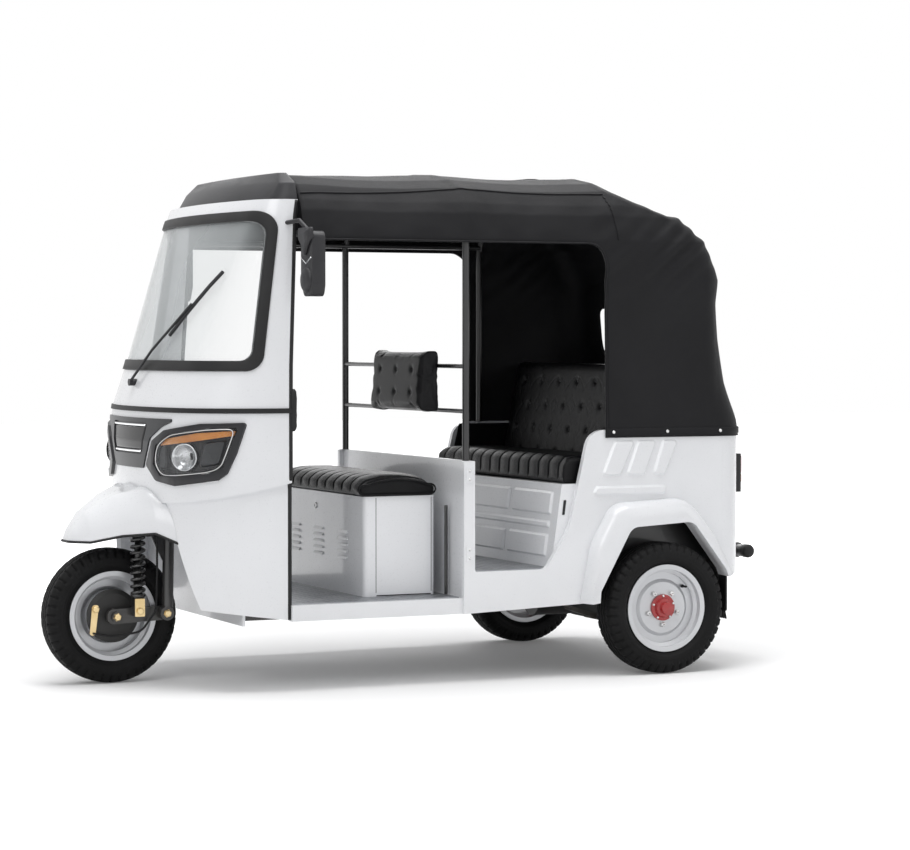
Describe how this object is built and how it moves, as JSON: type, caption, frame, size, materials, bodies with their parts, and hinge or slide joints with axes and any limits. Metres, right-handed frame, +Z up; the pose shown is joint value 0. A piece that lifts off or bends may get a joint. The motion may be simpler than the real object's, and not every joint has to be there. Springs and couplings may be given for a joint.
{
  "type": "passenger auto rickshaw",
  "caption": "Three-wheeled passenger auto rickshaw with a white enclosed nose, curved windscreen, fabric canopy, driver's seat box, passenger bench, sprung front fork and rear axle.",
  "frame": {"origin": "on the ground, under the middle of the bounding box", "axes": "+X forward, +Y to the vehicle's left, +Z up"},
  "size_m": [2.792, 1.512, 1.9],
  "materials": {
    "body_paint": "gloss white paint",
    "frame_black": "satin black paint",
    "spring_steel": "dark scale",
    "spring_black": "gloss black paint",
    "cast_black": "rough black",
    "floor_plate": "chequered plate",
    "black_rubber": "matte",
    "window_glass": "clear",
    "lamp_glass": "clear",
    "black_plastic": "satin black",
    "grey_plastic": "dark grey",
    "bright_chrome": "polished",
    "amber_plastic": "clear amber",
    "red_plastic": "clear red",
    "mirror_glass": "mirror",
    "bright_steel": "zinc",
    "seat_vinyl": "satin black vinyl",
    "canopy_cloth": "coated black cloth",
    "tyre_rubber": "tyre rubber",
    "rim_silver": "silver paint",
    "hub_red": "red paint"
  },
  "bodies": {
    "body": {"chassis_frame": "frame_black", "leaf_springs": "spring_steel", "rear_axle": "cast_black", "steering_head": "frame_black", "floor_pan": "body_paint", "floor_plates": "floor_plate", "rear_floor": "body_paint", "toe_board": "body_paint", "leg_shield": "body_paint", "nose_panel": "body_paint", "front_mudguard": "body_paint", "belt_trim": "black_rubber", "screen_surround": "body_paint", "screen_seal": "black_rubber", "windscreen": "window_glass", "roof_visor": "black_plastic", "grille_panel": "grey_plastic", "headlamp_bezels": "grey_plastic", "headlamp_lenses": "lamp_glass", "headlamp_reflectors": "bright_chrome", "indicator_lenses": "amber_plastic", "wiper": "black_plastic", "mirrors": "black_plastic", "mirror_glasses": "mirror_glass", "seat_box": "body_paint", "battery_pack": "black_plastic", "seat_hinges": "bright_steel", "driver_back_pad": "seat_vinyl", "partition": "body_paint", "roof_frame": "frame_black", "canopy": "canopy_cloth", "side_panel_left": "body_paint", "side_panel_right": "body_paint", "wheel_arch_flares": "body_paint", "wheel_houses": "body_paint", "rear_panel": "body_paint", "bench": "body_paint", "passenger_cushion": "seat_vinyl", "passenger_backrest": "seat_vinyl", "tail_lamps": "red_plastic", "rear_bumper": "frame_black", "mudflaps": "black_rubber", "brake_pedal": "frame_black"},
    "steering": {"fork": "frame_black", "suspension_link": "frame_black", "shock": "spring_black", "brake_plate": "cast_black", "handlebar": "frame_black", "grips": "black_rubber", "instrument_pod": "black_plastic", "brake_cable": "black_rubber"},
    "front_wheel": {"front_tyre": "tyre_rubber", "front_rim": "rim_silver"},
    "rear_wheel_left": {"rear_tyre_left": "tyre_rubber", "rear_rim_left": "rim_silver", "rear_hub_left": "hub_red"},
    "rear_wheel_right": {"rear_tyre_right": "tyre_rubber", "rear_rim_right": "rim_silver", "rear_hub_right": "hub_red"},
    "driver_seat": {"driver_cushion": "seat_vinyl"}
  },
  "joints": [
    {"name": "steering_turn", "type": "hinge", "parent": "body", "child": "steering", "pos_m": [0.943, 0, 0.62], "axis": [-0.4226, 0, 0.9063], "range_deg": [-42, 42]},
    {"name": "front_wheel_spin", "type": "hinge", "parent": "steering", "child": "front_wheel", "pos_m": [1.143, 0, 0.25], "axis": [0, 1, 0], "continuous": true},
    {"name": "rear_wheel_left_spin", "type": "hinge", "parent": "body", "child": "rear_wheel_left", "pos_m": [-0.857, 0.602, 0.25], "axis": [0, 1, 0], "continuous": true},
    {"name": "rear_wheel_right_spin", "type": "hinge", "parent": "body", "child": "rear_wheel_right", "pos_m": [-0.857, -0.602, 0.25], "axis": [0, 1, 0], "continuous": true},
    {"name": "seat_lift", "type": "hinge", "parent": "body", "child": "driver_seat", "pos_m": [0.013, 0, 0.726], "axis": [0, -1, 0], "range_deg": [0, 60]}
  ]
}
